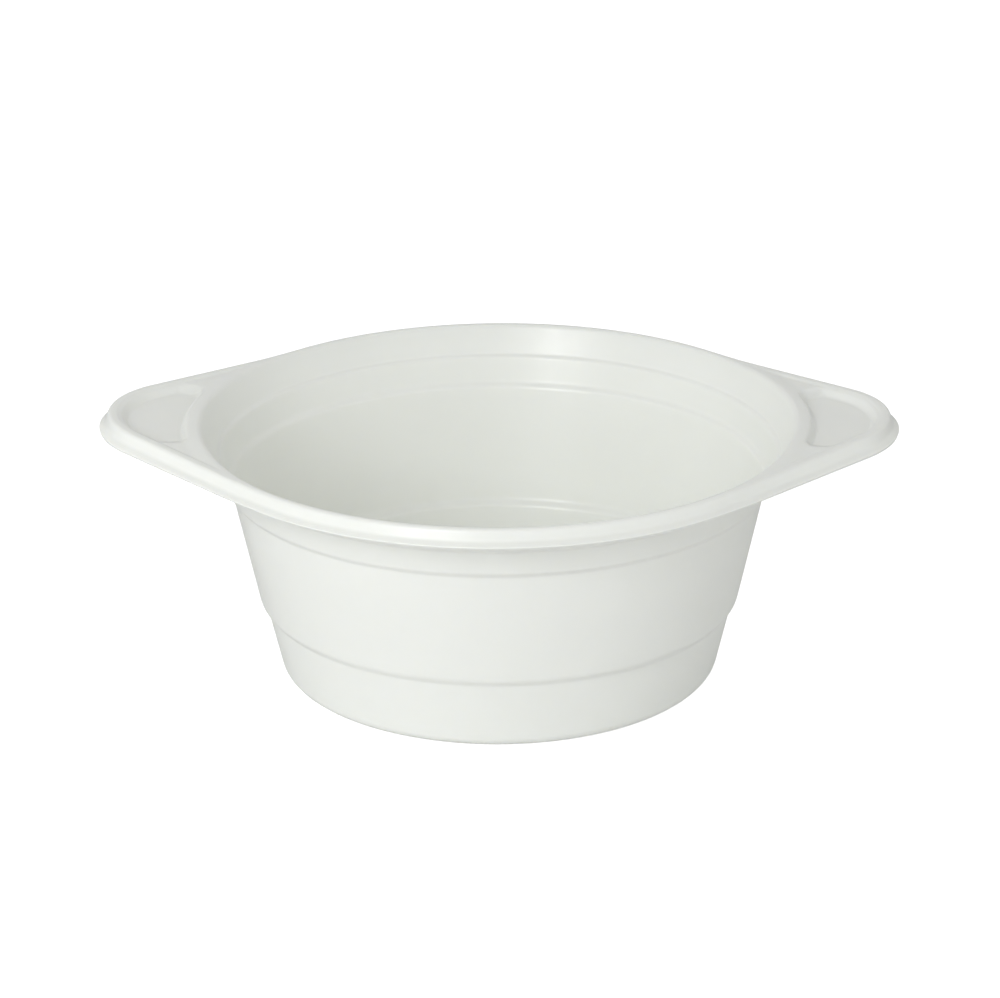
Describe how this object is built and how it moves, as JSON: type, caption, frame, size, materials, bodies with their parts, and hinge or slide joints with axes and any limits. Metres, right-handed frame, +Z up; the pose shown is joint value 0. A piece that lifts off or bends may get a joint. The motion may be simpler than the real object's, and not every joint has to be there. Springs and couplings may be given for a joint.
{
  "type": "two-handled disposable bowl",
  "caption": "Round thermoformed plastic soup bowl with tapered stepped wall, flared skirt rim and two wide ears with thumb recesses.",
  "frame": {"origin": "centre of the base, on the plane that the bowl stands on", "axes": "+Z up out of the mouth, +X through the middle of one ear, +Y across the bowl between the ears"},
  "size_m": [0.1622, 0.1274, 0.0545],
  "materials": {
    "white_plastic": "satin to gloss, slightly translucent off-white sheet"
  },
  "bodies": {
    "root": {"bowl": "white_plastic"}
  },
  "joints": []
}
